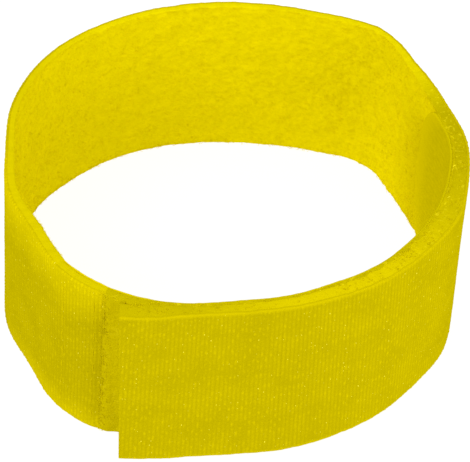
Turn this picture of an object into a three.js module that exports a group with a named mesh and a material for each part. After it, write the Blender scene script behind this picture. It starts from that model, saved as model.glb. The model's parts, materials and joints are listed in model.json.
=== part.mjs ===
// A hook-and-loop fabric wristband, wound on itself and pressed shut.
//
// Two narrow tapes make it. The strap has a ribbed woven ground outside and a brushed loop pile
// inside. The shorter hook tape has a plain ground against the wrist and a field of hooks facing
// out, and it is sewn under the strap's first end. From the tab, which is the hook tape's free
// end, the band runs clockwise seen from above: along the front, up the left side, round the
// back, down the right side over the tab, and along the front again to the flap's free end.
//
// Every tape is a flat strip bent onto one winding line. A place on that line is a "turn": the
// degrees wound clockwise from the tab's end. Fabric that has to bend is cut into short lengths
// with a hinge line between them. Millimetres, +Z up, the lower edges of the strap on Z = 0.

import * as THREE from "three";

// Tape sizes
const tapeWidth = 25;
const strapGround = 0.5;
const strapPile = 0.55;
const hookGround = 0.45;
const hookHeight = 0.6;
const layerGap = 0.05;
const pileInset = 0.3;
const hookInset = 0.8;
const tabCornerLength = 4;
const tabCornerWidth = 8;

// The winding, in turns. The flap and the tab are divided at their hinge lines.
const tabBearing = 34;
const strapStart = 157;
const hookFieldStart = 1.6;
const hookFieldEnd = 156;
const hookTapeEnd = 172;
const tabHinges = [33, 67];
const flapHinges = [379, 414, 446, 478];
const flapEnd = 509.5;
const hingeGap = 0.6;
const turnStep = 2.5;

// Radius of the wall's wrist side, one value every 15 degrees, counterclockwise from +X.
const wristRadius = [
  26.6, 27.7, 28.0, 29.9, 33.1, 32.6, 32.4, 32.7, 33.1, 33.2, 32.9, 32.0,
  30.8, 30.9, 30.0, 30.3, 29.4, 27.6, 25.6, 24.9, 24.5, 24.7, 25.0, 25.7,
];

// How far the strap stands out from that radius: over the hook tape at the seam, flat on the
// wrist side round the back, then out over the tab, and off the tab again at the flap's end.
const standOff = [
  [strapStart, hookGround + layerGap],
  [hookTapeEnd + 1, hookGround + layerGap],
  [191, 0],
  [323, 0],
  [348, 0.8],
  [361, 1.2],
  [378, 1.25],
  [394, 1.55],
  [409, 2.2],
  [424, 1.9],
  [449, 1.6],
  [468, 1.25],
  [483, 1.2],
  [496, 1.3],
  [flapEnd, 3.2],
];

// The flap's lower edge leans out from its upper one by this much, between these two turns.
const flapLean = 1.1;
const leanStart = 414;
const leanFull = 478;

// Seam thread
const threadDiameter = 0.3;
const threadLift = 0.2;
const seamRows = [159.5, 169];
const seamInset = 1.5;
const seamTension = 0.1;
const seamSteps = 24;
const threadSides = 6;

const strapColour = 0xd7c300;
const pileColour = 0xe6d000;
const hookColour = 0xcbb600;
const threadColour = 0xe0cc10;

const toRadians = THREE.MathUtils.degToRad;
const bearingOf = (turn) => toRadians(tabBearing - turn);

const radiusCurve = (() => {
  const count = wristRadius.length;
  const at = [];
  const values = [];
  for (let i = -2; i <= count + 2; i++) {
    at.push((i * 360) / count);
    values.push(wristRadius[(i + count) % count]);
  }
  return new THREE.CubicInterpolant(at, values, 1);
})();

const standOffCurve = new THREE.CubicInterpolant(
  standOff.map(([turn]) => turn),
  standOff.map(([, off]) => off),
  1,
);

function wristRadiusAt(turn) {
  const bearing = (((tabBearing - turn) % 360) + 360) % 360;
  return radiusCurve.evaluate(bearing)[0];
}

function strapRadiusAt(turn) {
  return wristRadiusAt(turn) + Math.max(0, standOffCurve.evaluate(turn)[0]);
}

function flapLeanAt(turn) {
  return flapLean * THREE.MathUtils.smoothstep(turn, leanStart, leanFull);
}

// Half the tab's width at a turn: its free end is rounded off at both corners.
function tabHalfWidthAt(turn) {
  const along = (toRadians(turn) * wristRadiusAt(turn)) / tabCornerLength;
  const left = 1 - THREE.MathUtils.clamp(along, 0, 1);
  return tapeWidth / 2 - tabCornerWidth * (1 - Math.sqrt(1 - left ** 2));
}

// A strip from one turn to another, between two offsets from its line, bent onto the winding.
function bentStrip({ from, to, inner, thickness, radiusAt, halfWidthAt }) {
  const steps = Math.max(1, Math.round((to - from) / turnStep));
  const strip = new THREE.BoxGeometry(to - from, thickness, 2, steps, 1, 1);
  strip.translate((from + to) / 2, inner + thickness / 2, 0);
  const position = strip.getAttribute("position");
  for (let i = 0; i < position.count; i++) {
    const turn = position.getX(i);
    const acrossWidth = position.getZ(i) * halfWidthAt(turn);
    const lean = flapLeanAt(turn) * (0.5 - acrossWidth / tapeWidth);
    const radius = radiusAt(turn) + position.getY(i) + lean;
    const bearing = bearingOf(turn);
    const z = tapeWidth / 2 + acrossWidth;
    position.setXYZ(i, radius * Math.cos(bearing), radius * Math.sin(bearing), z);
  }
  strip.computeVertexNormals();
  return strip;
}

const strapWidthAt = () => tapeWidth / 2;
const pileWidthAt = () => tapeWidth / 2 - pileInset;
const hookWidthAt = (turn) => tabHalfWidthAt(turn) - hookInset;

function fabric(colour, roughness) {
  return new THREE.MeshStandardMaterial({ color: colour, roughness, metalness: 0 });
}

const strapFabric = fabric(strapColour, 0.75);
const pileFabric = fabric(pileColour, 0.95);
const hookFabric = fabric(hookColour, 0.6);
const threadFibre = fabric(threadColour, 0.35);

function named(name, geometry, material) {
  const mesh = new THREE.Mesh(geometry, material);
  mesh.name = name;
  return mesh;
}

// A length of strap: the ribbed ground outside and the loop pile on its wrist side.
function strapLength(name, from, to) {
  const place = { from, to, radiusAt: strapRadiusAt };
  const groundAt = strapPile + layerGap;
  return [
    named(
      name.replace("*", "ground"),
      bentStrip({ ...place, inner: groundAt, thickness: strapGround, halfWidthAt: strapWidthAt }),
      strapFabric,
    ),
    named(
      name.replace("*", "pile"),
      bentStrip({ ...place, inner: 0, thickness: strapPile, halfWidthAt: pileWidthAt }),
      pileFabric,
    ),
  ];
}

// A length of hook tape: the ground against the wrist and the hooks facing out.
function hookTapeLength(name, from, to) {
  return [
    named(
      name.replace("*", "ground"),
      bentStrip({
        from,
        to,
        inner: 0,
        thickness: hookGround,
        radiusAt: wristRadiusAt,
        halfWidthAt: tabHalfWidthAt,
      }),
      hookFabric,
    ),
    named(
      name.replace("*", "hooks"),
      bentStrip({
        from: Math.max(from, hookFieldStart),
        to: Math.min(to, hookFieldEnd),
        inner: hookGround + layerGap,
        thickness: hookHeight,
        radiusAt: wristRadiusAt,
        halfWidthAt: hookWidthAt,
      }),
      hookFabric,
    ),
  ];
}

// Seam thread: up one row, across, and down the other, lying on the face at a given offset.
function seamThread(name, offset) {
  const low = seamInset;
  const high = tapeWidth - seamInset;
  const corners = [
    [seamRows[0], low],
    [seamRows[0], high],
    [(seamRows[0] + seamRows[1]) / 2, high],
    [seamRows[1], high],
    [seamRows[1], low],
  ];
  const points = corners.map(([turn, z]) => {
    const radius = wristRadiusAt(turn) + offset;
    return new THREE.Vector3(
      radius * Math.cos(bearingOf(turn)),
      radius * Math.sin(bearingOf(turn)),
      z,
    );
  });
  const route = new THREE.CatmullRomCurve3(points, false, "catmullrom", seamTension);
  const section = new THREE.Shape().absarc(0, 0, threadDiameter / 2, 0, Math.PI * 2);
  const tube = new THREE.ExtrudeGeometry(section, {
    steps: seamSteps,
    curveSegments: threadSides / 2,
    extrudePath: route,
  });
  return named(name, tube, threadFibre);
}

// Lengths of a tape between its end, its hinge lines and its other end.
function lengths(ends) {
  const halfGap = hingeGap / 2;
  const found = [];
  for (let i = 0; i + 1 < ends.length; i++) {
    const from = i === 0 ? ends[i] : ends[i] + halfGap;
    const to = i + 2 === ends.length ? ends[i + 1] : ends[i + 1] - halfGap;
    found.push([from, to]);
  }
  return found;
}

function buildBand() {
  const band = new THREE.Group();
  const [strap, ...flap] = lengths([strapStart, ...flapHinges, flapEnd]);
  band.add(...strapLength("strap_*", ...strap));
  flap.forEach((ends, i) => band.add(...strapLength(`flap_*_${i + 1}`, ...ends)));

  const [tip, neck, tape] = lengths([0, ...tabHinges, hookTapeEnd]);
  band.add(...hookTapeLength("hook_tape_*", ...tape));
  band.add(...hookTapeLength("tab_*_1", ...neck));
  band.add(...hookTapeLength("tab_*_2", ...tip));

  const strapFace = hookGround + layerGap + strapPile + layerGap + strapGround;
  const clear = threadLift + threadDiameter / 2;
  band.add(seamThread("seam_needle_thread", strapFace + clear));
  band.add(seamThread("seam_bobbin_thread", -clear));
  return band;
}

// The origin is the middle of the band's outline, on the plane that it stands on.
function centred(band) {
  const centre = new THREE.Box3().setFromObject(band).getCenter(new THREE.Vector3());
  band.position.set(-centre.x, -centre.y, 0);
  return band;
}

const group = centred(buildBand());

export default group;
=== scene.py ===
import json
import math

import bpy
import numpy as np
from mathutils import Matrix, Vector


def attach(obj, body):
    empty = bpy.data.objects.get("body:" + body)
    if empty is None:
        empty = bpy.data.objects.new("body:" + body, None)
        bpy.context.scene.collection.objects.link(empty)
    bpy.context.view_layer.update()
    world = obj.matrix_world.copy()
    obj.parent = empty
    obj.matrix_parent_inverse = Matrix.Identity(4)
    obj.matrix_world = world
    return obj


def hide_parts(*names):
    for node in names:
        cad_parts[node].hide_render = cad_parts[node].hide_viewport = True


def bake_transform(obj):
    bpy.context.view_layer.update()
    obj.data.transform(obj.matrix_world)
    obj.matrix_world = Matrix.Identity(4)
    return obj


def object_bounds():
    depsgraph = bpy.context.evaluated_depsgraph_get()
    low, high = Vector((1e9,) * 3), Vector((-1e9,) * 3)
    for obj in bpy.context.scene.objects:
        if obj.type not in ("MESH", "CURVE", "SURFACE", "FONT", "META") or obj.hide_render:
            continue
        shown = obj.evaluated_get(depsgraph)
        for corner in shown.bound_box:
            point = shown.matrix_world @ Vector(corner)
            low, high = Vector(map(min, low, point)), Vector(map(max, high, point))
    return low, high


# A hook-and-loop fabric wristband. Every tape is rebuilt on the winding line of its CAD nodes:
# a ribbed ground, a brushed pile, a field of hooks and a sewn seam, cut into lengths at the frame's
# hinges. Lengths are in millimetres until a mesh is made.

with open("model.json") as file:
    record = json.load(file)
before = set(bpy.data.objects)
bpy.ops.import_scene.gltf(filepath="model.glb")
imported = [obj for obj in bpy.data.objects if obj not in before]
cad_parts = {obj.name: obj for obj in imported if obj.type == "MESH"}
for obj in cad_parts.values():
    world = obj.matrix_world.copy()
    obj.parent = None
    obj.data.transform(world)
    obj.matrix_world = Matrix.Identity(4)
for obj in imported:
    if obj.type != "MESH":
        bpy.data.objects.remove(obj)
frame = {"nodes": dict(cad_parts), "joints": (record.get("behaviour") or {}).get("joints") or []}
cad_low, cad_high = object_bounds()

MM = 0.001
HALF_WIDTH = 12.5

# Strap, seen from its outer face (depth 0 is the CAD ground's outer face, minus is inward)
RIB_PITCH = 0.56
RIB_HEIGHT = 0.075
RIB_SAMPLES = 5
RIB_ROUNDNESS = 0.7
RIB_UNEVEN = 0.35
BEAD_PITCH = 0.63
BEAD_LEAST, BEAD_DEPTH = 0.68, 0.32
GROUND_THICKNESS = 0.32
GROUND_RIM = 0.14
BACK_RIM = 0.03
PILE_DEPTH = -0.24
PILE_THICKNESS = 0.84
PILE_RIM = 0.18
PILE_INSET = 0.04
ROW_STEP = 0.15
PILE_STEP = 0.21
END_SLANT = 0.5
END_PRESS = 0.25
END_PRESS_REACH = 0.9
BACK_LEAN = 0.4
BACK_START, BACK_END, BACK_EASE = 46.0, 100.0, 14.0
MOST_FILL = 1.6
FILL_FADE = 13.0
FILL_BITE = 0.5
SEAM_FADE = 32.0
TAPE_STEP_AT, TAPE_STEP_REACH = 0.2, 0.8
RIM_STEPS = 4

# Noise in layers: its height, its length along the tape and its width across
SWAY = ((0.14, 17, 16), (0.04, 4.5, 6))
EDGE_WAVE = ((0.08, 9, 1), (0.06, 1.7, 1), (0.035, 0.6, 1))
PILE_RAGGED = ((0.035, 0.5, 0.35),)
PILE_CLUMPS = ((0.10, 1.5, 1.3), (0.09, 0.62, 0.55), (0.06, 0.3, 0.28))
TAPE_SWAY = ((0.07, 13, 16),)
MAT_CLUMPS = ((0.06, 0.9, 0.8), (0.04, 0.4, 0.36))

# How sharply the waves of an edge fade towards mid-width, as a power
EDGE_POWER = 4
PILE_EDGE_POWER = 6

# Loose fibres: a nap all over the pile, and fluff along the edges of pile and hooks
NAP_PER_MM2 = 2.2
NAP_LENGTH = 0.65
NAP_RADIUS = 0.022
NAP_SHARES = (0.4, 1.1)
NAP_LIFT, NAP_CURL = 0.16, 0.9
EDGE_NAP_PER_MM = 2.5
EDGE_NAP_REACH = 0.25
HAIR_STEPS = 6
HAIR_TAPER = 0.6
HAIR_LIFTS = (0.5, 1.2)
HAIR_ARCH = 0.85
FRAY_COUNT = 320
FRAY_RADIUS = 0.03
FRAY_LENGTHS = (0.3, 0.9)
FRAY_LIFT, FRAY_CURL = -0.1, 1.0
FRAY_AT, FRAY_SPREAD, FRAY_SINK = 0.1, 0.3, 0.02
RIM_MARGIN = 0.4
RIM_INSET = 0.2
RIM_ARCH = (0.12, 0.32)
RIM_DEEPEST = 2.0
RIM_SHARES = (0.4, 1.0)

# Hook tape (depth 0 is the CAD ground's wrist face)
TAPE_THICKNESS = 0.28
TAPE_INWARD = 0.12
TAPE_RIB_PITCH = 0.86
TAPE_RIB_HEIGHT = 0.03
TAPE_BEAD_PITCH = 0.7
TAPE_BEAD_LEAST, TAPE_BEAD_DEPTH = 0.75, 0.25
TAPE_RIB_UNEVEN = 0.4
TAPE_RIM, TAPE_BACK_RIM = 0.18, 0.12
TAPE_ROW_STEP, TAPE_STEP = 0.18, 0.24
TAPE_END_THINNED, TAPE_END_REACH = 0.6, 1.5
TAB_CORNER = (4.0, 8.0)
TIP_FADE = 3.6
HOOK_SPACING = (0.8, 0.85)
HOOK_HEIGHT = 0.95
HOOK_RADIUS = 0.07
HOOK_MARGIN = 0.5
HOOK_STRAY = (0.1, 0.09)
HOOK_TURN, HOOK_LEAN = 0.5, 0.12
HOOK_SIZES = (0.85, 1.08)
HOOK_SIDES = 5
HOOKLESS_END = 8.15

# Fluff caught among the hooks
MAT_HEIGHT = 0.62
MAT_END_RISE = 1.3
MAT_RISE_AT = 5.0
MAT_RISE_REACH = 3.6
MAT_LIP = 0.03
MAT_LIP_REACH = 1.1
HOOKS_BURIED = 0.3
BURIED_FROM, BURIED_REACH = 9, 4
MAT_RISE_FOOT = 4.0
MAT_INSET = 0.1
MAT_STEP = 0.24
MAT_BASE = 0.06
MAT_RIM, MAT_BACK_RIM = 0.06, 0.05
MAT_TIP_LEAD, MAT_TIP_REACH = 0.4, 1.4
MAT_PAST_HOOKS = 0.6
STRAY_STOP = 14

# Seam: rows of stitches, by their distance from the strap's first end
STITCH_ROWS = (1.4, 6.5)
STITCH_LENGTH = 2.3
STITCH_GAP = 0.35
STITCH_MARGIN = 1.5
STITCH_SINK = 0.02
STITCH_SINK_REACH = 0.55
STITCH_STRAY = (0.05, 0.06)
STITCH_BOW = 0.06
STITCH_STAND = 0.03
SEAM_OFFSET = 0.15
THREAD_RADIUS = 0.065
THREAD_SIDES = 8

# The fabric is cut into lengths this far from a hinge
BEND_LEAD = 2.5

# Sampling of the winding line: degrees that part two CAD sections, a step ahead, points
SECTION_GAP = 0.5
STEP_AHEAD = 0.05
LINE_SAMPLES = 4000
STRAP_SAMPLES, TAPE_SAMPLES, SEAM_SAMPLES = 200, 1200, 400

# A sine hash for the noise, and the angle past which an edge is shaded sharp
HASH_X, HASH_Y, HASH_SEED, HASH_GAIN = 127.1, 311.7, 74.7, 43758.5453
SHARP_ANGLE = 65

rng = np.random.default_rng(7)


# ---------------------------------------------------------------- the winding line of a tape

def stations(name, outer):
    """A CAD strip's cross-sections, clockwise: its face's plan points and heights, low and high."""
    points = np.array([v.co for v in frame["nodes"][name].data.vertices]) / MM
    bearing = np.degrees(np.arctan2(points[:, 1], points[:, 0])) % 360
    order = np.argsort(-bearing)
    points, bearing = points[order], bearing[order]
    steps = (bearing - np.roll(bearing, -1)) % 360
    start = int(np.argmax(steps)) + 1
    points, steps = np.roll(points, -start, axis=0), np.roll(steps, -start)
    groups = np.split(points, np.nonzero(steps[:-1] > SECTION_GAP)[0] + 1)
    found = []
    for group in groups:
        upper = group[:, 2] > group[:, 2].mean()
        radius = np.hypot(group[:, 0], group[:, 1]) * (1 if outer else -1)
        edges = [group[side][radius[side].argmax()] for side in (~upper, upper)]
        found.append(np.concatenate(edges))
    return np.array(found)


def eased(share):
    """A share from 0 to 1 that starts and stops gently."""
    return share * share * (3 - 2 * share)


def smooth(at, known, values):
    """Values at the places asked for, on a cubic through the known ones."""
    slope = np.gradient(values, known, axis=0)
    i = np.clip(np.searchsorted(known, at) - 1, 0, len(known) - 2)
    h = known[i + 1] - known[i]
    t = (at - known[i]) / h
    if values.ndim > 1:
        h, t = h[..., None], t[..., None]
    a, b = values[i], values[i + 1]
    c, d = slope[i] * h, slope[i + 1] * h
    return a + t * (c + t * (3 * (b - a) - 2 * c - d + t * (2 * (a - b) + c + d)))


class Line:
    """One face of a tape as it is wound: where its two edges run, by length along it."""

    def __init__(self, nodes, outer):
        found = np.vstack([stations(name, outer) for name in nodes])
        self.low, self.high = found[:, :3], found[:, 3:]
        middle = (self.low + self.high)[:, :2] / 2
        self.known = np.r_[0, np.cumsum(np.linalg.norm(np.diff(middle, axis=0), axis=1))]
        self.length = self.known[-1]
        self.base = float(self.low[-1, 2])
        self.width = float(self.high[-1, 2] - self.base)
        self.centre = self.base + self.width / 2

    def plan(self, s, share):
        """Plan points and outward normals at lengths s and shares of the width."""
        low, high = (smooth(s, self.known, e[:, :2]) for e in (self.low, self.high))
        ahead = [smooth(s + STEP_AHEAD, self.known, e[:, :2]) for e in (self.low, self.high)]
        share = np.asarray(share)[..., None]
        point = low + (high - low) * share
        tangent = ahead[0] + (ahead[1] - ahead[0]) * share - point
        tangent /= np.linalg.norm(tangent, axis=-1, keepdims=True)
        return point, np.stack([-tangent[..., 1], tangent[..., 0]], axis=-1)

    def place_of(self, point):
        """The length along the line that is nearest to a plan point."""
        s = np.linspace(0, self.length, LINE_SAMPLES)
        gap = np.linalg.norm(self.plan(s, 0.5 + 0 * s)[0] - np.array(point), axis=1)
        return s[gap.argmin()]

    def world(self, s, v, depth):
        """Points in metres at lengths, offsets up from mid-width, and depths out of the face."""
        point, normal = self.plan(s, 0.5 + v / self.width)
        plan = point + normal * depth[..., None]
        return np.concatenate([plan, (self.centre + v)[..., None]], axis=-1) * MM

    def along(self, s):
        """The direction of winding at one length, as a vector."""
        _, normal = self.plan(np.array([s]), np.array([0.5]))
        return Vector((normal[0, 1], -normal[0, 0], 0))


# ---------------------------------------------------------------- noise and meshes

def noise(x, y, seed=0.0):
    """Smooth noise from -1 to 1 on a unit grid."""
    cell_x, cell_y = np.floor(x), np.floor(y)
    fx, fy = x - cell_x, y - cell_y
    fx, fy = eased(fx), eased(fy)

    def corner(i, j):
        angle = (cell_x + i) * HASH_X + (cell_y + j) * HASH_Y + seed * HASH_SEED
        h = np.sin(angle) * HASH_GAIN
        return 2 * (h - np.floor(h)) - 1

    low = corner(0, 0) * (1 - fx) + corner(1, 0) * fx
    high = corner(0, 1) * (1 - fx) + corner(1, 1) * fx
    return low * (1 - fy) + high * fy


def layered(x, y, layers, seed):
    """The sum of several layers of noise, each with a seed of its own."""
    return sum(
        height * noise(x / length, y / width, seed + i)
        for i, (height, length, width) in enumerate(layers)
    )


def new_object(name, points, faces, cloth, material):
    """A mesh object from arrays of points and of faces, with its place on the cloth in mm."""
    mesh = bpy.data.meshes.new(name)
    points = points.reshape(-1, 3)
    corners = np.concatenate([f.ravel() for f in faces]).astype(np.int32)
    totals = np.concatenate([np.full(len(f), f.shape[1]) for f in faces])
    mesh.vertices.add(len(points))
    mesh.vertices.foreach_set("co", points.astype(np.float32).ravel())
    mesh.loops.add(len(corners))
    mesh.loops.foreach_set("vertex_index", corners)
    mesh.polygons.add(len(totals))
    mesh.polygons.foreach_set("loop_start", np.r_[0, np.cumsum(totals)[:-1]].astype(np.int32))
    mesh.update(calc_edges=True)
    place = mesh.attributes.new("cloth", "FLOAT_VECTOR", "POINT")
    place.data.foreach_set("vector", cloth.reshape(-1, 3).astype(np.float32).ravel())
    mesh.shade_smooth()
    mesh.set_sharp_from_angle(angle=math.radians(SHARP_ANGLE))
    mesh.materials.append(material)
    obj = bpy.data.objects.new(name, mesh)
    bpy.context.scene.collection.objects.link(obj)
    return obj


def grid_faces(rows, columns, closed):
    """Quads of a grid of points, whose columns close on themselves if asked."""
    index = np.arange(rows * columns).reshape(rows, columns)
    if closed:
        index = np.concatenate([index, index[:, :1]], axis=1)
    quads = [index[:-1, :-1], index[1:, :-1], index[1:, 1:], index[:-1, 1:]]
    return np.stack(quads, axis=-1).reshape(-1, 4)


def tubes(lines, radius, sides):
    """Closed tubes along many lines of equal point count: rings of points, and faces."""
    count, steps, _ = lines.shape
    tangent = np.gradient(lines, axis=1)
    tangent /= np.linalg.norm(tangent, axis=-1, keepdims=True) + 1e-12
    helper = np.where(np.abs(tangent[..., 2:]) < 0.9, [[[0.0, 0.0, 1.0]]], [[[1.0, 0.0, 0.0]]])
    helper = helper[:, :1].repeat(steps, axis=1)
    side = np.cross(tangent, helper)
    side /= np.linalg.norm(side, axis=-1, keepdims=True) + 1e-12
    up = np.cross(side, tangent)
    turn = np.arange(sides) * 2 * math.pi / sides
    ring = side[:, :, None] * np.cos(turn)[:, None] + up[:, :, None] * np.sin(turn)[:, None]
    points = lines[:, :, None] + ring * np.asarray(radius)[..., None, None]
    index = np.arange(count * steps * sides).reshape(count, steps, sides)
    after = np.roll(index, -1, axis=2)
    quads = np.stack([index[:, :-1], after[:, :-1], after[:, 1:], index[:, 1:]], axis=-1)
    return points, [quads.reshape(-1, 4), index[:, 0, ::-1], index[:, -1]]


# ---------------------------------------------------------------- materials

def shade(colour, factor):
    return tuple(factor * c for c in colour)


DEEP = (0.42, 0.335, 0.0)
BODY = (0.50, 0.406, 0.0)
TAPE_BODY = (0.56, 0.467, 0.0)
NAP = (0.79, 0.66, 0.0)
EDGE_TONE = (0.68, 0.56, 0.0)
MATTED = (0.61, 0.50, 0.0)
LIGHT = (0.90, 0.76, 0.01)
GLINT = (0.96, 0.84, 0.06)
STRAY_LOOP = (0.98, 0.85, 0.02)
GLOSS_TINT = (1.0, 0.85, 0.1, 1)
SHEEN_TINT = (1.0, 0.85, 0.0, 1)
SHEEN_ROUGHNESS = 0.4

RIB_VALLEY_SHADE, RIB_CLOUD = shade(BODY, 0.9), shade(BODY, 0.87)
RIB_DASH, RIB_EDGE = shade(BODY, 1.15), shade(BODY, 1.12)
NAP_CLOUD, NAP_TUFT = shade(NAP, 0.94), shade(NAP, 0.86)
NAP_RIM_DARK, NAP_GLINTS = shade(EDGE_TONE, 0.97), shade(LIGHT, 0.9)
NAP_MATTED_SHADE, NAP_FURTHER, NAP_LAST = (shade(MATTED, gain) for gain in (0.77, 1.12, 0.88))
TAPE_CLOUD, TAPE_EDGE_LIGHT = shade(TAPE_BODY, 0.92), shade(TAPE_BODY, 1.07)
TAPE_SEAM_LIGHT, TAPE_TIP = shade(EDGE_TONE, 1.15), shade(MATTED, 1.02)
FLUFF_PALE, FLUFF_DARK = shade(MATTED, 0.98), shade(MATTED, 0.84)
FILAMENT_DRIFT = 0.85

# Painted light: how much lighter some zones of the strap's ribbed face are
FRONT_GAIN, TOP_GAIN, FOOT_GAIN = 1.07, 1.32, 1.3

# Where those and other zones start and stop, as lengths from the strap's first end
EDGES_LIGHTEN = (40, 60)
FRONT_LIGHTENS, FRONT_DARKENS = (136, 150), (154, 172)
TOP_DARKENS, FOOT_DARKENS = (28, 46), (12, 24)
DARK_RIMS_END = (48, 62)

# The same from where the strap comes to the hook tape, and back from the flap's end
RIMS_SHADED, RIMS_EASE, GLINTS_SPREAD = (-6, 4), (12, 40), (20, 45)
BESIDE_TAB = (-8, -2)
LAST_STRETCH = (22, 8)

# Heights from mid-width, the foot's height, and how far in from a tape's edge its rim goes
TOP_FADE, BESIDE_HEIGHT, FOOT_HEIGHT = 5.5, (5, 11), 4
RIB_RIM, NAP_RIM, TAPE_EDGE_RIM = 0.55, 0.8, 0.35

# The hook tape: where the painted light by its sewn end runs, back from the end, and how far the
# fluff's painted shade reaches
TAPE_SEWN_REACH = (16, 8)
TIP_START = 0.2
FLUFF_SHADE_REACH = 4

# Noise over the cloth: its scale for each mm, and the two levels between which it shows
BROAD_CLOUDS = (0.2, 0.35, 0.65)
YARN_SHADE = (1.0, 0.35, 0.72)
YARN_DASHES = (1.0, 0.5, 0.78)
YARN_GLINTS = (1.0, 0.815, 0.84)
WEAVE_GRAIN = (6.0, 0.0, 1.0)
NAP_CLOUDS = (0.35, 0.33, 0.68)
NAP_TUFTS = (1.5, 0.4, 0.68)
LOOP_GLINTS = (2.0, 0.58, 0.7)
NAP_FIBRES = (3.4, 0.0, 1.0)
TAPE_CLOUDS = (1.0, 0.35, 0.7)
TAPE_GRAIN = (4.0, 0.0, 1.0)
DYE_DRIFT = (1.3, 0.35, 0.65)
FLUFF_CLOUDS = (0.8, 0.35, 0.7)
FLUFF_GLINTS = (1.1, 0.6, 0.72)
FLUFF_FIBRES = (4.0, 0.0, 1.0)

# Depth of each material's finest relief
RIB_BUMP, NAP_BUMP, TAPE_BUMP, FLUFF_BUMP = 0.05, 0.09, 0.06, 0.12


def new_material(name, colour, roughness, specular=0.0, sheen=0.0):
    material = bpy.data.materials.new(name)
    material.use_nodes = True
    shader = material.node_tree.nodes["Principled BSDF"]
    shader.inputs["Base Color"].default_value = (*colour, 1)
    shader.inputs["Roughness"].default_value = roughness
    shader.inputs["Specular IOR Level"].default_value = specular
    shader.inputs["Specular Tint"].default_value = GLOSS_TINT
    shader.inputs["Sheen Weight"].default_value = sheen
    shader.inputs["Sheen Roughness"].default_value = SHEEN_ROUGHNESS
    shader.inputs["Sheen Tint"].default_value = SHEEN_TINT
    return material, material.node_tree, shader


def node(tree, kind, inputs=(), **settings):
    made = tree.nodes.new(kind)
    for key, value in settings.items():
        setattr(made, key, value)
    for socket, value in dict(inputs).items():
        if isinstance(value, bpy.types.NodeSocket):
            tree.links.new(value, made.inputs[socket])
        else:
            made.inputs[socket].default_value = value
    return made


def cloth_place(tree, scale=(1, 1, 1)):
    """The place on the cloth, in mm, stretched by a scale."""
    place = node(tree, "ShaderNodeAttribute", attribute_name="cloth")
    mapping = node(tree, "ShaderNodeMapping", {"Vector": place.outputs["Vector"]})
    mapping.inputs["Scale"].default_value = scale
    return mapping.outputs["Vector"]


def levels(tree, value, low, high, to_low=0.0, to_high=1.0):
    """A value brought from one range to another, and held inside it."""
    inputs = {"Value": value, "From Min": low, "From Max": high}
    inputs |= {"To Min": to_low, "To Max": to_high}
    return node(tree, "ShaderNodeMapRange", inputs).outputs["Result"]


def cloud(tree, scale, low, high, detail=2.0, stretch=(1, 1, 1), strength=1.0):
    """Noise over the cloth, brought to 0..strength between two of its levels."""
    inputs = {"Vector": cloth_place(tree, stretch), "Scale": scale, "Detail": detail}
    noise_node = node(tree, "ShaderNodeTexNoise", inputs)
    return levels(tree, noise_node.outputs["Fac"], low, high, 0.0, strength)


def wave(tree, axis, pitch):
    """A cosine along one axis of the cloth, from -1 to 1, highest at whole pitches."""
    split = node(tree, "ShaderNodeSeparateXYZ", {"Vector": cloth_place(tree)})
    angle = {0: split.outputs[axis], 1: 2 * math.pi / pitch}
    phase = node(tree, "ShaderNodeMath", angle, operation="MULTIPLY")
    return node(tree, "ShaderNodeMath", {0: phase.outputs[0]}, operation="COSINE").outputs[0]


def mix(tree, factor, first, second, blend="MIX"):
    made = node(tree, "ShaderNodeMix", data_type="RGBA", blend_type=blend)
    for socket, value in ((0, factor), (6, first), (7, second)):
        if isinstance(value, bpy.types.NodeSocket):
            tree.links.new(value, made.inputs[socket])
        elif socket == 0:
            made.inputs[socket].default_value = value
        else:
            made.inputs[socket].default_value = (*value, 1)
    return made.outputs[2]


def near_edge(tree, half, reach):
    """0 over the middle of a tape's width, and 1 at its two edges."""
    split = node(tree, "ShaderNodeSeparateXYZ", {"Vector": cloth_place(tree)})
    out = node(tree, "ShaderNodeMath", {0: split.outputs["Y"]}, operation="ABSOLUTE")
    return levels(tree, out.outputs[0], half - reach, half)


def ramp(tree, axis, start, end, first=0.0, last=1.0):
    """One value before a place along an axis of the cloth, and another after a later place."""
    split = node(tree, "ShaderNodeSeparateXYZ", {"Vector": cloth_place(tree)})
    return levels(tree, split.outputs[axis], start, end, first, last)


def fade(tree, axis, start, end):
    """1 before a place along an axis of the cloth, falling to 0 at a later place."""
    return ramp(tree, axis, start, end, 1.0, 0.0)


def product(tree, first, second):
    return node(tree, "ShaderNodeMath", {0: first, 1: second}, operation="MULTIPLY").outputs[0]


def lighter(tree, factor, colour, gain):
    """A colour multiplied by a gain, as far as the factor says."""
    return mix(tree, factor, colour, (gain, gain, gain), "MULTIPLY")


def add_bump(tree, shader, height, distance):
    bump = node(tree, "ShaderNodeBump", {"Height": height, "Distance": distance})
    tree.links.new(bump.outputs["Normal"], shader.inputs["Normal"])


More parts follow.
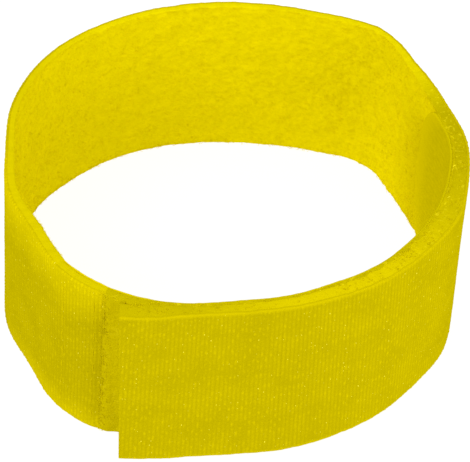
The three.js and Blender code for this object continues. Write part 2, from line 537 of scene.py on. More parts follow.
def ribbed_weave():
    """Ribs across the strap: painted shade between ribs, yarn in light dashes, painted glints, and
    painted light over some zones.
    """
    material, tree, shader = new_material("ribbed_weave", BODY, roughness=0.8, sheen=0.08)
    # Painted shade: the colour darkens in the valleys between the ribs.
    crest = levels(tree, wave(tree, "X", RIB_PITCH), -1.0, 0.8)
    colour = mix(tree, crest, RIB_VALLEY_SHADE, BODY)
    colour = mix(tree, cloud(tree, *BROAD_CLOUDS), colour, RIB_CLOUD)
    yarn = cloud(tree, *YARN_SHADE, stretch=(3.4, 1.9, 1), strength=0.3)
    colour = mix(tree, yarn, colour, DEEP)
    dashes = cloud(tree, *YARN_DASHES, detail=1.0, stretch=(1 / RIB_PITCH, 1.1, 1))
    colour = mix(tree, product(tree, dashes, crest), colour, RIB_DASH)
    # Painted glints: small specks of light colour on the yarn.
    glints = cloud(tree, *YARN_GLINTS, detail=0.0, stretch=(5.5, 2.8, 1))
    colour = mix(tree, glints, colour, GLINT)
    rims = near_edge(tree, HALF_WIDTH, RIB_RIM)
    colour = mix(tree, product(tree, rims, ramp(tree, "X", *EDGES_LIGHTEN)), colour, RIB_EDGE)
    # Painted light: lighter at the flap's front right, along the top edge near the strap's first
    # end, and along the foot there.
    front = product(tree, ramp(tree, "X", *FRONT_LIGHTENS), fade(tree, "X", *FRONT_DARKENS))
    colour = lighter(tree, front, colour, FRONT_GAIN)
    top = product(tree, ramp(tree, "Y", TOP_FADE, HALF_WIDTH), fade(tree, "X", *TOP_DARKENS))
    colour = lighter(tree, top, colour, TOP_GAIN)
    low = fade(tree, "Y", -HALF_WIDTH, FOOT_HEIGHT - HALF_WIDTH)
    foot = product(tree, low, fade(tree, "X", *FOOT_DARKENS))
    colour = lighter(tree, foot, colour, FOOT_GAIN)
    tree.links.new(colour, shader.inputs["Base Color"])
    grain = cloud(tree, *WEAVE_GRAIN, detail=3.0, stretch=(1.0, 0.55, 1))
    add_bump(tree, shader, grain, RIB_BUMP * MM)
    return material


def nap_rim_shade(tree):
    """The colour of the pile's rims over the hooks: matted, with painted shade that is darkest
    where they first meet them, painted glints, and darker again near the flap's end.
    """
    meets = FILL_AT[0]
    further = ramp(tree, "X", meets + RIMS_EASE[0], meets + RIMS_EASE[1])
    matted = mix(tree, further, NAP_MATTED_SHADE, NAP_FURTHER)
    # Painted glints: light spots on the rims, fewer further along.
    ends = cloud(tree, *LOOP_GLINTS, detail=1.0, strength=0.5)
    fewer = ramp(tree, "X", meets + GLINTS_SPREAD[0], meets + GLINTS_SPREAD[1], 1.0, 0.2)
    matted = mix(tree, product(tree, ends, fewer), matted, NAP_GLINTS)
    last = ramp(tree, "X", STRAP.length - LAST_STRETCH[0], STRAP.length - LAST_STRETCH[1])
    return mix(tree, last, matted, NAP_LAST)


def brushed_nap():
    """Soft loops brushed into a nap: cloudy, its rims darker by the seam, and matted and darkened
    with painted shade where it is pressed on the hooks and beside the tab's tip.
    """
    material, tree, shader = new_material("brushed_nap", NAP, roughness=0.95, sheen=0.2)
    colour = mix(tree, cloud(tree, *NAP_CLOUDS, detail=4.0), NAP, NAP_CLOUD)
    tufts = cloud(tree, *NAP_TUFTS, detail=4.0, strength=0.5)
    colour = mix(tree, tufts, colour, NAP_TUFT)
    rims = near_edge(tree, HALF_WIDTH - PILE_INSET, NAP_RIM)
    # The pile's rims are darker from the seam to 48 to 62 mm along.
    sewn = product(tree, rims, fade(tree, "X", *DARK_RIMS_END))
    colour = mix(tree, sewn, colour, NAP_RIM_DARK)
    meets = FILL_AT[0]
    # Painted shade, with matted pile: the rims darken over the hooks.
    pressed = ramp(tree, "X", meets + RIMS_SHADED[0], meets + RIMS_SHADED[1])
    colour = mix(tree, product(tree, rims, pressed), colour, nap_rim_shade(tree))
    # Beside the tab's tip the pile is pressed and darkened with painted shade.
    from_tab = ramp(tree, "X", meets + BESIDE_TAB[0], meets + BESIDE_TAB[1], 0.0, 0.95)
    beside = product(tree, from_tab, fade(tree, "Y", *BESIDE_HEIGHT))
    colour = mix(tree, beside, colour, MATTED)
    tree.links.new(colour, shader.inputs["Base Color"])
    add_bump(tree, shader, cloud(tree, *NAP_FIBRES, detail=6.0), NAP_BUMP * MM)
    return material


def tape_weave():
    """Close weave of the hook tape, with fine cords along its length, painted shade between the
    cords, painted light on its edges and a fluffy tip.
    """
    material, tree, shader = new_material("tape_weave", TAPE_BODY, roughness=0.75, sheen=0.06)
    clouds = cloud(tree, *TAPE_CLOUDS, detail=3.0, stretch=(0.7, 1.2, 1))
    colour = mix(tree, clouds, TAPE_BODY, TAPE_CLOUD)
    # Painted shade: darker between the cords.
    groove_shade = levels(tree, wave(tree, "Y", TAPE_RIB_PITCH), -0.2, 1.0, 0.14, 0.0)
    colour = mix(tree, groove_shade, colour, DEEP)
    # Painted light: lighter along the tape's edges, and more so by its sewn end.
    edge = near_edge(tree, HALF_WIDTH, TAPE_EDGE_RIM)
    colour = mix(tree, edge, colour, TAPE_EDGE_LIGHT)
    start, end = (TAPE_LINE.length - reach for reach in TAPE_SEWN_REACH)
    colour = mix(tree, product(tree, edge, ramp(tree, "X", start, end)), colour, TAPE_SEAM_LIGHT)
    colour = mix(tree, ramp(tree, "Z", TIP_START, TIP_FADE), TAPE_TIP, colour)
    tree.links.new(colour, shader.inputs["Base Color"])
    grain = cloud(tree, *TAPE_GRAIN, detail=3.0, stretch=(1.6, 0.8, 1))
    add_bump(tree, shader, grain, TAPE_BUMP * MM)
    return material


def filament(name, colour, roughness, specular):
    """Drawn nylon filament, with its dye a little uneven."""
    material, tree, shader = new_material(name, colour, roughness, specular)
    paler = mix(tree, cloud(tree, *DYE_DRIFT), colour, shade(colour, FILAMENT_DRIFT))
    tree.links.new(paler, shader.inputs["Base Color"])
    return material


def caught_fluff():
    """Fluff and broken loops among the hooks: cloudy, with painted glints for short bright ends and
    painted shade by the flap's end.
    """
    material, tree, shader = new_material("caught_fluff", MATTED, roughness=0.9, sheen=0.1)
    colour = mix(tree, cloud(tree, *FLUFF_CLOUDS, detail=4.0), FLUFF_PALE, FLUFF_DARK)
    # Painted glints: short bright spots.
    ends = cloud(tree, *FLUFF_GLINTS, detail=1.0, stretch=(1.0, 1.2, 1), strength=0.45)
    colour = mix(tree, ends, colour, LIGHT)
    # Painted shade: the fluff darkens under the flap's end and stays darker up to the strap's first
    # end.
    exposed = TAPE_LINE.length - HOOKLESS_END - MAT_RISE_AT
    pressed = ramp(tree, "X", exposed - FLUFF_SHADE_REACH, exposed, 0.0, 0.65)
    colour = mix(tree, pressed, colour, FLUFF_DARK)
    tree.links.new(colour, shader.inputs["Base Color"])
    add_bump(tree, shader, cloud(tree, *FLUFF_FIBRES, detail=6.0), FLUFF_BUMP * MM)
    return material


# ---------------------------------------------------------------- lengths of strap

STRAP = Line(["strap_ground"] + [f"flap_ground_{i}" for i in range(1, 5)], outer=True)
TAPE_LINE = Line(["tab_ground_2", "tab_ground_1", "hook_tape_ground"], outer=False)


def strap_sway(s, v):
    """How far the strap leans out of its line: slow waves, and its far side leans in below."""
    far = np.clip((s - BACK_START) / BACK_EASE, 0, 1) * np.clip((BACK_END - s) / BACK_EASE, 0, 1)
    return layered(s, v, SWAY, seed=3) - BACK_LEAN * (0.5 - v / STRAP.width) * eased(far)


def end_press(s):
    """How far the strap's first end is pressed flat, where it is sewn down."""
    return END_PRESS * np.exp(-((s / END_PRESS_REACH) ** 2))


def edge_wave(s, seed):
    """How far a tape's edge strays outward."""
    return layered(s, 0 * s, EDGE_WAVE, seed)


def to_edges(v, width, power):
    """-1 at a tape's lower edge and 1 at its upper edge, falling to 0 between them."""
    return np.sign(v) * np.abs(v / width * 2) ** power


def whole_ribs(s):
    """The nearest valley between two ribs, where one length of strap can follow another."""
    return (round(s / RIB_PITCH - 0.5) + 0.5) * RIB_PITCH


def rib_relief(s, v):
    """Height of the ribs: round ridges, each beaded along its length."""
    number = np.round(s / RIB_PITCH)
    ridge = np.abs(np.cos(math.pi * s / RIB_PITCH)) ** RIB_ROUNDNESS
    bead = BEAD_LEAST + BEAD_DEPTH * np.cos(2 * math.pi * (v / BEAD_PITCH + 0.5 * number))
    uneven = 1 + RIB_UNEVEN * noise(number * 0.9, v / 1.3, seed=9)
    return RIB_HEIGHT * ridge * bead * uneven


def seam_sink(s):
    """How far the fabric is drawn in along the rows of stitches."""
    return sum(STITCH_SINK * np.exp(-(((s - row) / STITCH_SINK_REACH) ** 2)) for row in STITCH_ROWS)


def pile_relief(s, v):
    """Height of the brushed pile: clumps of loops leaning into each other."""
    return layered(s, v, PILE_CLUMPS, seed=21)


def section(width, rows, thickness, face_rim, back_rim):
    """A cross-section as a loop: offsets from mid-width, depths into the tape, face weights."""
    flat = width / 2 - face_rim
    face = np.linspace(-flat, flat, rows)
    turn = np.linspace(0, math.pi / 2, RIM_STEPS)
    near = [(flat + face_rim * math.sin(a), face_rim * (1 - math.cos(a))) for a in turn[1:]]
    flat = width / 2 - back_rim
    far = [
        (flat + back_rim * math.cos(a), thickness - back_rim * (1 - math.sin(a)))
        for a in turn
    ]
    top = near + far
    bottom = [(-x, y) for x, y in reversed(top)]
    across = np.r_[face, [x for x, _ in top], [x for x, _ in bottom]]
    into = np.r_[face * 0, [y for _, y in top], [y for _, y in bottom]]
    weight = np.r_[np.ones(rows), np.zeros(len(top) + len(bottom))]
    return across, into, weight


def loft(name, line, s, v, out, outward, material, third=None):
    """A closed tape from a grid of lengths by loop points, capped at both ends."""
    points = line.world(s, v, out)
    count, loop = s.shape
    sides = grid_faces(count, loop, closed=True)
    ends = [np.arange(loop)[None, ::-1], (np.arange(loop) + (count - 1) * loop)[None]]
    if outward:
        sides, ends = sides[:, ::-1], [e[:, ::-1] for e in ends]
    cloth = np.stack([s, v, out if third is None else third], axis=-1)
    return new_object(name, points, [sides, *ends], cloth, material)


def strap_grid(start, end, step, across):
    """Lengths and offsets over a piece of strap. The flap's end is cut a little on the slant."""
    s = np.linspace(start, end, max(2, int(round((end - start) / step)) + 1))
    s, v = np.meshgrid(s, across, indexing="ij")
    if end > STRAP.length - 1e-6:
        s = s + END_SLANT * (2 * v / STRAP.width) * (s - start) / (end - start)
    return s, v


def strap_ground(name, start, end):
    rows = int(STRAP.width / ROW_STEP)
    across, into, weight = section(STRAP.width, rows, GROUND_THICKNESS, GROUND_RIM, BACK_RIM)
    s, v = strap_grid(start, end, RIB_PITCH / RIB_SAMPLES, across)
    uneven = edge_wave(s, seed=5) * to_edges(v, STRAP.width, EDGE_POWER)
    out = strap_sway(s, v) + rib_relief(s, v) * weight - seam_sink(s) - end_press(s) - into
    return loft(name, STRAP, s, v + uneven, out, True, RIBBED)


def strap_pile(name, start, end):
    rows = int(STRAP.width / PILE_STEP)
    width = STRAP.width - 2 * PILE_INSET
    across, into, weight = section(width, rows, PILE_THICKNESS, PILE_RIM, BACK_RIM)
    s, v = strap_grid(start, end, PILE_STEP, across)
    ragged = edge_wave(s, seed=5) + layered(s, into, PILE_RAGGED, seed=41)
    uneven = ragged * to_edges(v, STRAP.width, PILE_EDGE_POWER)
    fill = pile_fill(s, v) * (1 - into / PILE_THICKNESS)
    out = PILE_DEPTH - PILE_THICKNESS - fill + strap_sway(s, v) + into
    out = out - end_press(s) * into / PILE_THICKNESS
    out = out - pile_relief(s, v) * weight
    return loft(name, STRAP, s, v + uneven, out, False, PILE)


def tape_gap():
    """Room between the pile's usual face and the fluff on the tape: lengths, low, high edge."""
    tip, _ = TAPE_LINE.plan(np.array([0.0]), np.array([0.5]))
    s = np.linspace(STRAP.place_of(tip[0]), STRAP.length, STRAP_SAMPLES)
    along = np.linspace(0, TAPE_LINE.length, TAPE_SAMPLES)
    room = []
    for share in (0.0, 1.0):
        mine, _ = STRAP.plan(s, share + 0 * s)
        tape, _ = TAPE_LINE.plan(along, share + 0 * along)
        nearest = np.linalg.norm(mine[:, None] - tape[None], axis=2).min(axis=1)
        room.append(nearest + PILE_DEPTH - PILE_THICKNESS - TAPE_THICKNESS - MAT_HEIGHT)
    return s, np.clip(np.array(room) + FILL_BITE, 0, MOST_FILL)


FILL_AT, FILL_ROOM = tape_gap()


def seam_stand():
    """How far the strap's outer face stands off the tape that it is sewn to."""
    mine, _ = STRAP.plan(np.array([STITCH_ROWS[0]]), np.array([0.5]))
    start = TAPE_LINE.length - 2 * HOOKLESS_END
    along = np.linspace(start, TAPE_LINE.length, SEAM_SAMPLES)
    tape, _ = TAPE_LINE.plan(along, 0.5 + 0 * along)
    return np.linalg.norm(mine - tape, axis=1).min()


STAND = seam_stand()
SEAM_ROOM = STAND + PILE_DEPTH - PILE_THICKNESS - TAPE_THICKNESS + TAPE_INWARD


def pile_fill(s, v):
    """How much deeper the pile stands where the strap bows away from the hook tape."""
    share = np.clip(0.5 + v / STRAP.width, 0, 1)
    low, high = (np.interp(s, FILL_AT, room) for room in FILL_ROOM)
    near = np.clip((s - FILL_AT[0]) / FILL_FADE + 1, 0, 1)
    over_tape = (low + (high - low) * share) * eased(near)
    past = np.clip((s - HOOKLESS_END) / SEAM_FADE, 0, 1)
    step = np.clip((s - HOOKLESS_END + TAPE_STEP_AT) / TAPE_STEP_REACH, 0, 1) * TAPE_THICKNESS
    return over_tape + (SEAM_ROOM + step) * (1 - eased(past))


def strap_lengths():
    """Names, ends and bodies of the strap's lengths, each cut in a valley between ribs."""
    hinges = [STRAP.place_of(frame_hinge(f"flap_peel_{i}")) for i in range(1, 5)]
    starts = [whole_ribs(h - BEND_LEAD - RIB_PITCH) for h in hinges]
    first = starts[0]
    cuts = [0.0, whole_ribs(first / 3), whole_ribs(2 * first / 3), *starts, STRAP.length]
    names = ["left", "back", "right", "overlap_1", "overlap_2", "overlap_3", "overlap_4"]
    return [
        (name, a, b, max(0, i - 2), hinges[i - 3] if i > 2 else None)
        for i, (name, a, b) in enumerate(zip(names, cuts, cuts[1:]))
    ]


def frame_hinge(name):
    """A hinge's place in plan, in mm."""
    joint = next(j for j in frame["joints"] if j["name"] == name)
    return np.array(joint["pos_m"][:2]) / MM


# ---------------------------------------------------------------- lengths of hook tape

def tape_half_width(s):
    """Half the tape's width, with the two round corners of the tab's end."""
    left = 1 - np.clip(s / TAB_CORNER[0], 0, 1)
    return TAPE_LINE.width / 2 - TAB_CORNER[1] * (1 - np.sqrt(1 - left**2))


def tape_sway(s, v):
    return layered(s, v, TAPE_SWAY, seed=33) - TAPE_INWARD


def tape_relief(s, v):
    cord = np.abs(np.cos(math.pi * v / TAPE_RIB_PITCH))
    number = np.round(v / TAPE_RIB_PITCH)
    turn = 2 * math.pi * (s / TAPE_BEAD_PITCH + 0.5 * number)
    beads = TAPE_BEAD_LEAST + TAPE_BEAD_DEPTH * np.cos(turn)
    uneven = 1 + TAPE_RIB_UNEVEN * noise(s / 1.1, v / 0.8, seed=35)
    return TAPE_RIB_HEIGHT * cord * beads * uneven


def tape_ground(name, start, end):
    width = TAPE_LINE.width
    rows = int(width / TAPE_ROW_STEP)
    across, into, weight = section(width, rows, TAPE_THICKNESS, TAPE_RIM, TAPE_BACK_RIM)
    s = np.linspace(start, end, max(2, int(round((end - start) / TAPE_STEP)) + 1))
    s, v = np.meshgrid(s, across, indexing="ij")
    v = v * tape_half_width(s) / (width / 2)
    uneven = edge_wave(s, seed=15) * to_edges(v, width, EDGE_POWER)
    corner = np.clip((np.abs(v) - width / 2) / TAB_CORNER[1] + 1, 0, 1)
    from_tip = s - TAB_CORNER[0] * (1 - np.sqrt(1 - corner**2))
    from_end = (TAPE_LINE.length - s) / TAPE_END_REACH
    thin = 1 - TAPE_END_THINNED * np.exp(-(from_end**2))
    out = tape_sway(s, v) + TAPE_THICKNESS - (TAPE_THICKNESS - into) * thin
    out = out - tape_relief(s, v) * weight
    return loft(name, TAPE_LINE, s, v + uneven, out, False, TAPE, from_tip)


# A hook's outline, as reach and rise for a hook 1 mm high
HOOK_SHAPE = np.array(
    [(0, -0.1), (0, 0.2), (0, 0.5), (0.03, 0.72), (0.13, 0.9), (0.3, 0.98), (0.46, 0.9),
     (0.54, 0.74), (0.55, 0.6)]
)


def hook_field(name, start, end):
    """Rows of J hooks, alternate rows facing opposite ways, each a little out of true."""
    along = np.arange(start + HOOK_SPACING[0] / 2, end, HOOK_SPACING[0])
    half = TAPE_LINE.width / 2 - HOOK_MARGIN
    across = np.linspace(-half, half, int(2 * half / HOOK_SPACING[1]) + 1)
    s, v = np.meshgrid(along, across, indexing="ij")
    s = s + rng.normal(0, HOOK_STRAY[0], s.shape)
    facing = np.where(np.arange(len(across)) % 2, 1.0, -1.0)[None].repeat(len(along), 0)
    v = v + rng.normal(0, HOOK_STRAY[1], s.shape)
    keep = (np.abs(v) < tape_half_width(s) - HOOK_MARGIN / 2) & (s > HOOK_MARGIN) & (s < end)
    s, v, facing = s[keep], v[keep], facing[keep]
    turn = np.where(facing > 0, 0, math.pi) + rng.normal(0, HOOK_TURN, len(s))
    size = HOOK_HEIGHT * rng.uniform(*HOOK_SIZES, len(s))
    lean = rng.normal(0, HOOK_LEAN, (len(s), 2))
    reach = HOOK_SHAPE[:, 0] * size[:, None]
    rise = HOOK_SHAPE[:, 1] * size[:, None]
    path_s = s[:, None] + reach * np.cos(turn)[:, None] + rise * lean[:, :1]
    path_v = v[:, None] + reach * np.sin(turn)[:, None] + rise * lean[:, 1:]
    rise_here = end_rise(s, v) * (1 - HOOKS_BURIED / MAT_END_RISE)
    past = s - TAPE_LINE.length + HOOKLESS_END + BURIED_FROM
    buried = HOOKS_BURIED * np.clip(past / BURIED_REACH, 0, 1)
    base = (tape_sway(s, v) + rise_here - buried)[:, None] + TAPE_THICKNESS
    lines = TAPE_LINE.world(path_s, path_v, base + rise)
    points, faces = tubes(lines, np.full(len(s), HOOK_RADIUS * MM)[:, None], HOOK_SIDES)
    cloth = np.broadcast_to(
        np.stack([path_s, path_v, rise], axis=-1)[:, :, None], points.shape
    )
    return new_object(name, points, faces, np.ascontiguousarray(cloth), HOOK)


def end_rise(s, v):
    """How much higher the hooks and fluff stand between the strap's two ends."""
    before = TAPE_LINE.length - HOOKLESS_END - s
    foot = 1 - np.exp(-np.clip(TAPE_LINE.width / 2 + v, 0, None) / MAT_RISE_FOOT)
    return MAT_END_RISE * foot * np.exp(-(((before - MAT_RISE_AT) / MAT_RISE_REACH) ** 2))


def hook_mat(name, start, end):
    """Fluff caught among the hooks: a mound by the flap's end, level with the strap's first end."""
    width = TAPE_LINE.width - 2 * MAT_INSET
    rows = int(width / MAT_STEP)
    across, into, weight = section(width, rows, 1.0, MAT_RIM, MAT_BACK_RIM)
    s = np.linspace(start, end, int((end - start) / MAT_STEP) + 1)
    s, v = np.meshgrid(s, across, indexing="ij")
    v = v * (tape_half_width(s) - MAT_INSET) / (width / 2)
    height = MAT_HEIGHT + end_rise(s, v)
    before = np.clip(TAPE_LINE.length - HOOKLESS_END - s, 0, None)
    strap_face = STAND - END_PRESS + strap_sway(0 * s, v)
    level = strap_face + MAT_LIP - TAPE_THICKNESS - tape_sway(s, v)
    height = height + (level - height) * np.exp(-((before / MAT_LIP_REACH) ** 2))
    height = height * np.sqrt(np.clip((s + MAT_TIP_LEAD) / MAT_TIP_REACH, 0, 1))
    clumps = layered(s, v, MAT_CLUMPS, seed=51) * weight
    out = TAPE_THICKNESS + tape_sway(s, v) + height - (height + MAT_BASE) * into + clumps
    return loft(name, TAPE_LINE, s, v, out, True, FLUFF)


def tape_lengths():
    """Names, ends, bodies and hinges of the hook tape's lengths, from the tab's end."""
    tip, neck = (TAPE_LINE.place_of(frame_hinge(f"tab_flex_{i}")) for i in (2, 1))
    cuts = [0.0, tip + BEND_LEAD + 0.5, neck + BEND_LEAD + 0.5, TAPE_LINE.length]
    return [
        ("tab_tip", cuts[0], cuts[1], ("tab_1", "tab_2"), tip),
        ("tab_neck", cuts[1], cuts[2], ("band", "tab_1"), neck),
        ("hook_tape", cuts[2], cuts[3], None, None),
    ]


# ---------------------------------------------------------------- loose fibres and stitches

def hairs(name, line, s, v, depth, length, radius, lift, curl, material):
    """Fine fibres from points of a face: each leaves it at a random heading, arches and lies."""
    heading = rng.uniform(0, 2 * math.pi, len(s))
    t = np.linspace(0, 1, HAIR_STEPS)
    reach = np.outer(length, t)
    bend = rng.normal(0, curl, len(s))[:, None] * t**2
    angle = heading[:, None] + bend
    rise = np.outer(lift * rng.uniform(*HAIR_LIFTS, len(s)), np.sin(t * math.pi * HAIR_ARCH))
    path_s = s[:, None] + reach * np.cos(angle)
    path_v = v[:, None] + reach * np.sin(angle)
    path_v = np.clip(path_v, -line.width / 2, line.width / 2)
    lines = line.world(path_s, path_v, depth[:, None] - rise)
    taper = radius * MM * (1 - HAIR_TAPER * t)[None].repeat(len(s), 0)
    points, faces = tubes(lines, taper, 3)
    cloth = np.stack([path_s, path_v, rise], axis=-1)[:, :, None].repeat(3, axis=2)
    return new_object(name, points, faces, cloth, material)


def pile_nap(name, start, end):
    """Fibre ends over the pile's face, and thicker along its two edges."""
    half = STRAP.width / 2 - PILE_INSET
    count = int((end - start) * STRAP.width * NAP_PER_MM2)
    edge = int((end - start) * 2 * EDGE_NAP_PER_MM)
    margin = NAP_LENGTH
    s = rng.uniform(start + margin, end - margin, count + edge)
    rim = np.sign(rng.uniform(-1, 1, edge)) * (half - rng.exponential(EDGE_NAP_REACH, edge))
    v = np.r_[rng.uniform(-half, half, count), np.clip(rim, -half, half)]
    depth = PILE_DEPTH - PILE_THICKNESS + strap_sway(s, v) - pile_relief(s, v)
    depth = depth - pile_fill(s, v)
    inset = np.clip((np.abs(v) - half + PILE_RIM) / PILE_RIM, 0, 1)
    depth = depth + PILE_RIM * (1 - np.sqrt(1 - inset**2))
    length = NAP_LENGTH * rng.uniform(*NAP_SHARES, len(s))
    return hairs(name, STRAP, s, v, depth, length, NAP_RADIUS, NAP_LIFT, NAP_CURL, FIBRE)


def frayed_end(name):
    """Yarn ends along the strap's first end, lying over the cut."""
    half = STRAP.width / 2
    v = rng.uniform(-half, half, FRAY_COUNT)
    s = FRAY_AT + rng.normal(0, FRAY_SPREAD, FRAY_COUNT)
    depth = strap_sway(s, v) - end_press(s) - FRAY_SINK
    length = rng.uniform(*FRAY_LENGTHS, FRAY_COUNT)
    shape = (FRAY_RADIUS, FRAY_LIFT, FRAY_CURL)
    return hairs(name, STRAP, s, v, depth, length, *shape, EDGE_FIBRE)


def rim_fluff(name, line, start, end, half, depths, fibre):
    """Short fibres that lie every way on a tape's two edges, between two of its depths."""
    per_mm2, longest, radius, material = fibre
    count = int((end - start) * 2 * RIM_DEEPEST * per_mm2)
    s = rng.uniform(start + RIM_MARGIN, end - RIM_MARGIN, count)
    side = np.sign(rng.uniform(-1, 1, len(s)))
    near, far = depths(s, side * half)
    depth = near + (far - near) * rng.uniform(0, 1, len(s))
    keep = rng.uniform(0, RIM_DEEPEST, len(s)) < np.abs(far - near)
    s, side, depth = s[keep], side[keep], depth[keep]
    t = np.linspace(-0.5, 0.5, 5)
    length = longest * rng.uniform(*RIM_SHARES, len(s))
    heading = rng.uniform(0, 2 * math.pi, len(s))[:, None]
    heading = heading + rng.normal(0, 1, len(s))[:, None] * t
    path_s = s[:, None] + np.outer(length, t) * np.cos(heading)
    path_depth = depth[:, None] + np.outer(length, t) * np.sin(heading)
    arch = rng.uniform(*RIM_ARCH, len(s))
    path_v = side[:, None] * (half - RIM_INSET + np.outer(arch, 1 - 4 * t**2))
    lines = line.world(path_s, path_v, path_depth)
    points, faces = tubes(lines, np.full((len(s), 1), radius * MM), 3)
    cloth = np.stack([path_s, path_v, path_depth], axis=-1)[:, :, None].repeat(3, axis=2)
    return new_object(name, points, faces, cloth, material)


def pile_depths(s, v):
    sway = strap_sway(s, v)
    return sway + PILE_DEPTH - 0.2, sway + PILE_DEPTH - PILE_THICKNESS - pile_fill(s, v)


def mat_depths(s, v):
    return TAPE_THICKNESS + 0 * s, TAPE_THICKNESS + MAT_HEIGHT + 0.1 + end_rise(s, v)


def stitches(name, line, rows, side, radius):
    """Rows of lockstitches on a face: short lengths of thread that dip in at both ends."""
    half = line.width / 2 - STITCH_MARGIN
    count = int(2 * half / (STITCH_LENGTH + STITCH_GAP))
    starts = -half + (2 * half / count) * np.arange(count)
    s, v = (a.ravel() for a in np.meshgrid(rows, starts))
    t = np.linspace(0, 1, 9)
    bow = np.sin(t * math.pi)
    path_v = v[:, None] + STITCH_LENGTH * t + rng.normal(0, STITCH_STRAY[1], len(v))[:, None]
    path_s = s[:, None] + rng.normal(0, STITCH_STRAY[0], len(s))[:, None] + STITCH_BOW * bow
    hump = side * ((radius + STITCH_STAND) * bow**0.5 - radius)
    if line is STRAP:
        sway, sink = strap_sway(path_s, path_v) - end_press(path_s), STITCH_SINK
    else:
        sway, sink = tape_sway(path_s, path_v), 0
    lines = line.world(path_s, path_v, sway + hump - sink)
    points, faces = tubes(lines, np.full((len(s), 1), radius * MM), THREAD_SIDES)
    cloth = np.stack([path_s, path_v, sway], axis=-1)[:, :, None].repeat(THREAD_SIDES, axis=2)
    return new_object(name, points, faces, cloth, THREAD)


# ---------------------------------------------------------------- the band's own materials

RIBBED = ribbed_weave()
PILE = brushed_nap()
TAPE = tape_weave()
FLUFF = caught_fluff()
FIBRE = filament("pile_fibre", shade(NAP, 1.04), 0.85, 0.1)
EDGE_FIBRE = filament("edge_fibre", EDGE_TONE, 0.8, 0.05)
STRAY = filament("stray_fibre", STRAY_LOOP, 0.7, 0.0)
HOOK = filament("hook_filament", shade(MATTED, 1.02), 0.5, 0.05)
# The thread is coloured lighter than the strap, a painted highlight.
THREAD = filament("seam_filament", shade(BODY, 1.26), 0.6, 0.0)

# Fluff on the edges: fibres for each square millimetre, longest length, radius and material
PILE_EDGE = (5.0, 0.75, 0.026, EDGE_FIBRE)
HOOK_EDGE = (3.5, 0.7, 0.026, EDGE_FIBRE)
STRAY_LOOPS = (0.3, 2.0, 0.05, STRAY)


# ---------------------------------------------------------------- putting the band together

def bend_over(piece, line, hinge):
    """Bakes a piece's place into its mesh; the hinge's middle and direction are found but not used.
    """
    middle, _ = line.plan(np.array([hinge]), np.array([0.5]))
    along = line.along(hinge) * MM
    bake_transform(piece)


def put(piece, hinge, line):
    """Gives a piece the band's body, or, at a hinge, bakes its place into its mesh."""
    if hinge is None:
        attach(piece, "band")
    else:
        bend_over(piece, line, hinge)


for name, a, b, flap, hinge in strap_lengths():
    ground = strap_ground(f"strap_{name}", a, b)
    pile = strap_pile(f"pile_{name}", a, b)
    nap = pile_nap(f"nap_{name}", a, b)
    for piece, slot in ((ground, "strap_ground"), (pile, "strap_pile"), (nap, "strap_pile")):
        put(piece, hinge, STRAP)
    on_it = [pile, nap]
    if hinge is None:
        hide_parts("strap_ground")
        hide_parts("strap_pile")
    else:
        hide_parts(f"flap_ground_{flap}")
        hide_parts(f"flap_pile_{flap}")
        half = STRAP.width / 2 - PILE_INSET
        fluff = rim_fluff(f"fluff_{name}", STRAP, a, b, half, pile_depths, PILE_EDGE)
        put(fluff, hinge, STRAP)
        on_it.append(fluff)
    if a == 0:
        needle = stitches("needle_stitches", STRAP, STITCH_ROWS, 1, THREAD_RADIUS)
        put(needle, None, STRAP)
        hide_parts("seam_needle_thread")
        fray = frayed_end("fray_first")
        put(fray, None, STRAP)
        on_it += [needle, fray]

CAD_NAMES = {"tab_tip": "tab_{}_2", "tab_neck": "tab_{}_1", "hook_tape": "hook_tape_{}"}

for name, a, b, bodies, hinge in tape_lengths():
    ground = tape_ground(f"ground_{name}", a, b)
    last = min(b, TAPE_LINE.length - HOOKLESS_END)
    hooks = hook_field(f"hooks_{name}", a, last)
    mat = hook_mat(f"mat_{name}", a, last + MAT_PAST_HOOKS * (b > last))
    half = TAPE_LINE.width / 2 - MAT_INSET
    rim_start = max(a, TAB_CORNER[0])
    stray_end = last - (STRAY_STOP if b > last else 0)
    fluff, stray = (
        rim_fluff(f"{kind}_{name}", TAPE_LINE, rim_start, rim_end, half, mat_depths, fibre)
        for kind, rim_end, fibre in (("fluff", last, HOOK_EDGE), ("stray", stray_end, STRAY_LOOPS))
    )
    for piece in (stray, mat, fluff):
        put(piece, hinge, TAPE_LINE)
    put(ground, hinge, TAPE_LINE)
    put(hooks, hinge, TAPE_LINE)
    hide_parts(CAD_NAMES[name].format("ground"))
    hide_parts(CAD_NAMES[name].format("hooks"))
    on_it = [hooks, mat, fluff, stray]
    if hinge is None:
        rows = [TAPE_LINE.length - HOOKLESS_END + SEAM_OFFSET + row for row in STITCH_ROWS]
        bobbin = stitches("bobbin_stitches", TAPE_LINE, rows, -1, THREAD_RADIUS)
        put(bobbin, None, TAPE_LINE)
        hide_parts("seam_bobbin_thread")
        on_it.append(bobbin)


# ---------------------------------------------------------------- floor, light and camera

# The view is given in millimetres and degrees, the floor and lamps in metres
CAMERA_ELEVATION, CAMERA_ROLL = 43.29, 3.70
CAMERA_TARGET = (1.386, -1.256, 12.5)
TARGET_RIGHT, TARGET_UP = -1.051, 0.26
CAMERA_DISTANCE = 436.8
CAMERA_LENS, CAMERA_SENSOR = 249.0, 36
FLOOR_SIDE, FLOOR_DROP = 3.0, 0.0002
FLOOR_COLOUR, FLOOR_GLOW = (0.18, 0.18, 0.18), 0.9
WORLD_STRENGTH = 0.75
LAMP_TARGET = (0, 0, 0.012)


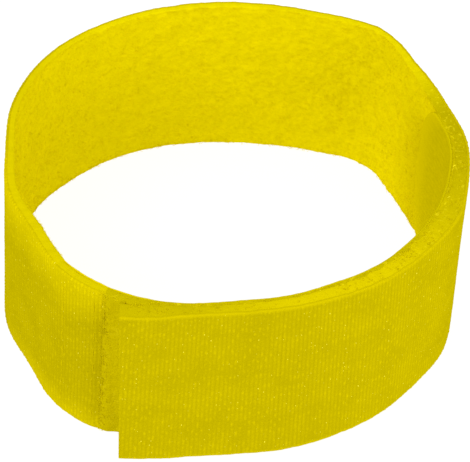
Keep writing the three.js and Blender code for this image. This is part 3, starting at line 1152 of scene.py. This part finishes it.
def add_floor():
    mesh = bpy.data.meshes.new("floor")
    side = FLOOR_SIDE
    mesh.from_pydata([(-side, -side, 0), (side, -side, 0), (side, side, 0), (-side, side, 0)],
                     [], [(0, 1, 2, 3)])
    floor = bpy.data.objects.new("floor", mesh)
    floor.location.z = cad_low[2] - FLOOR_DROP
    bpy.context.scene.collection.objects.link(floor)
    material, tree, shader = new_material("pale_floor", FLOOR_COLOUR, 1.0)
    shader.inputs["Emission Color"].default_value = (1, 1, 1, 1)
    shader.inputs["Emission Strength"].default_value = FLOOR_GLOW
    mesh.materials.append(material)


def add_lamp(name, place, size, power):
    lamp = bpy.data.lights.new(name, "AREA")
    lamp.energy, lamp.size = power, size
    lamp.shape = "SQUARE"
    obj = bpy.data.objects.new(name, lamp)
    obj.location = place
    obj.rotation_euler = (Vector(LAMP_TARGET) - Vector(place)).to_track_quat("-Z", "Y").to_euler()
    bpy.context.scene.collection.objects.link(obj)


def add_camera():
    """A long lens from the front, 43 degrees above the table, rolled a little."""
    elevation, roll = math.radians(CAMERA_ELEVATION), math.radians(CAMERA_ROLL)
    forward = Vector((0, math.cos(elevation), -math.sin(elevation)))
    right = Vector((1, 0, 0))
    up = right.cross(forward)
    right, up = (
        right * math.cos(roll) + up * math.sin(roll),
        up * math.cos(roll) - right * math.sin(roll),
    )
    target = Vector(CAMERA_TARGET) + right * TARGET_RIGHT + up * TARGET_UP
    place = (target - forward * CAMERA_DISTANCE) * MM
    camera = bpy.data.objects.new("camera", bpy.data.cameras.new("camera"))
    camera.matrix_world = Matrix(
        [(right[i], up[i], -forward[i], place[i]) for i in range(3)] + [(0, 0, 0, 1)]
    )
    camera.data.sensor_width = CAMERA_SENSOR
    camera.data.lens = CAMERA_LENS
    camera.data.clip_start, camera.data.clip_end = 0.01, 10
    bpy.context.scene.collection.objects.link(camera)
    bpy.context.scene.camera = camera


def add_light():
    world = bpy.data.worlds.new("studio")
    bpy.context.scene.world = world
    world.use_nodes = True
    background = world.node_tree.nodes["Background"]
    background.inputs["Color"].default_value = (1, 1, 1, 1)
    background.inputs["Strength"].default_value = WORLD_STRENGTH
    add_lamp("key", place=(-0.42, -0.34, 0.52), size=0.5, power=2.6)
    add_lamp("fill", place=(0.45, -0.35, 0.2), size=0.4, power=1.5)
    bpy.context.scene.view_settings.view_transform = "Standard"


add_floor()
add_light()
add_camera()
